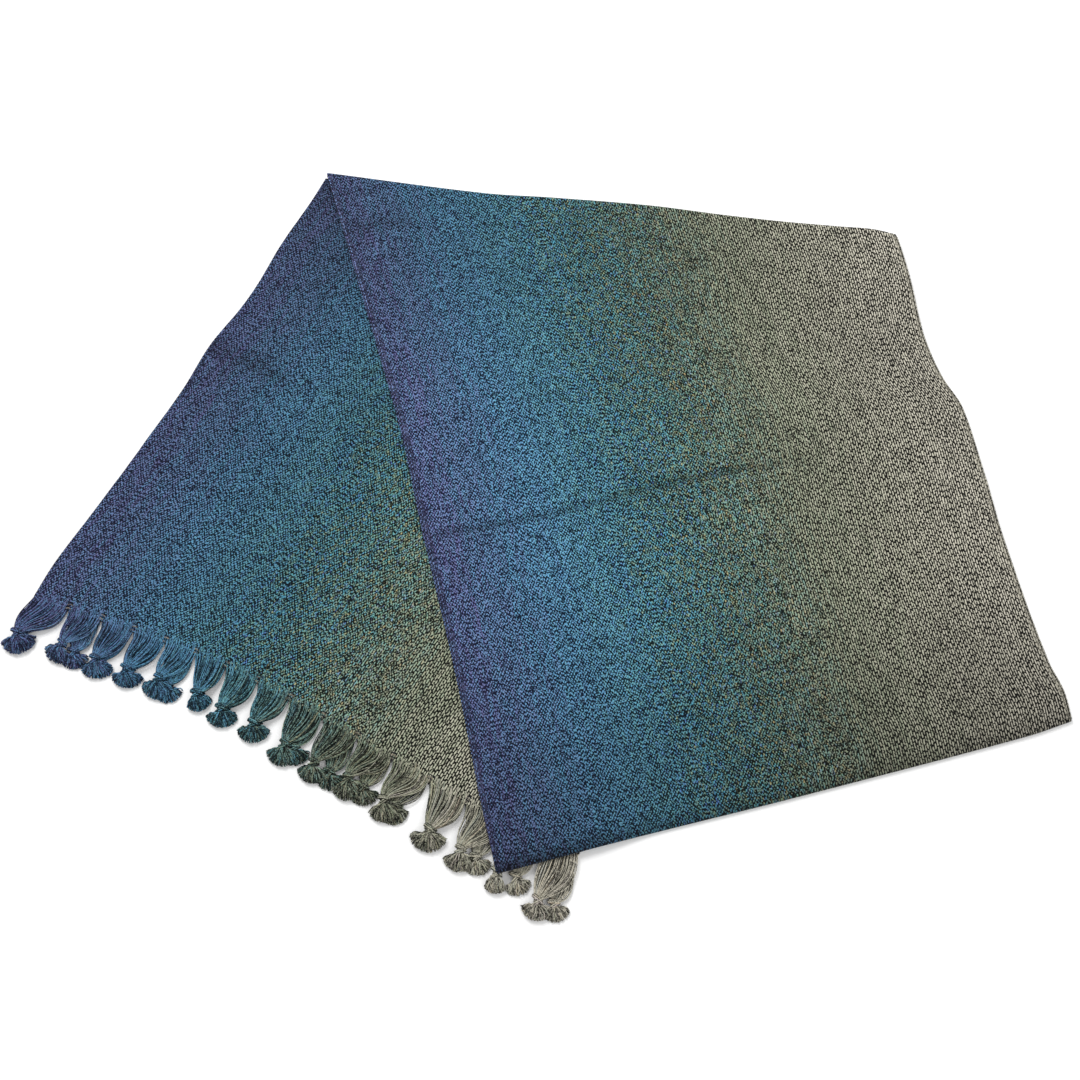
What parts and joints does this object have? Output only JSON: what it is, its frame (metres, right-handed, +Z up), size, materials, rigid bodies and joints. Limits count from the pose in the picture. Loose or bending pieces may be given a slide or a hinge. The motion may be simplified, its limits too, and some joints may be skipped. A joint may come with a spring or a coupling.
{
  "type": "folded fringed scarf",
  "caption": "Handwoven scarf laid flat, folded end to end and then at an angle, with a knotted fringe and a colour gradient across its width.",
  "frame": {"origin": "under the middle of the outline, on the surface that the scarf lies on", "axes": "+X to the right along the longest extent, +Y away from the fringed corner and the viewer, +Z up out of the cloth"},
  "size_m": [0.8172, 0.6238, 0.0116],
  "materials": {
    "woven_cloth": "matte handwoven cotton, indigo through teal and olive to stone grey",
    "fringe_yarn": "matte cotton yarn, knotted, coloured as the cloth beside it"
  },
  "bodies": {
    "root": {"upper_layer": "woven_cloth", "lower_layer": "woven_cloth", "hidden_layers": "woven_cloth", "tassel_front_01": "fringe_yarn", "tassel_rear_01": "fringe_yarn", "tassel_front_02": "fringe_yarn", "tassel_rear_02": "fringe_yarn", "tassel_front_03": "fringe_yarn", "tassel_rear_03": "fringe_yarn", "tassel_front_04": "fringe_yarn", "tassel_rear_04": "fringe_yarn", "tassel_front_05": "fringe_yarn", "tassel_rear_05": "fringe_yarn", "tassel_front_06": "fringe_yarn", "tassel_rear_06": "fringe_yarn", "tassel_front_07": "fringe_yarn", "tassel_rear_07": "fringe_yarn", "tassel_front_08": "fringe_yarn", "tassel_rear_08": "fringe_yarn", "tassel_front_09": "fringe_yarn", "tassel_rear_09": "fringe_yarn", "tassel_front_10": "fringe_yarn", "tassel_rear_10": "fringe_yarn", "tassel_front_11": "fringe_yarn", "tassel_rear_11": "fringe_yarn", "tassel_front_12": "fringe_yarn", "tassel_rear_12": "fringe_yarn", "tassel_front_13": "fringe_yarn", "tassel_rear_13": "fringe_yarn", "tassel_front_14": "fringe_yarn", "tassel_rear_14": "fringe_yarn", "tassel_front_15": "fringe_yarn", "tassel_rear_15": "fringe_yarn", "tassel_front_16": "fringe_yarn", "tassel_rear_16": "fringe_yarn"}
  },
  "joints": []
}
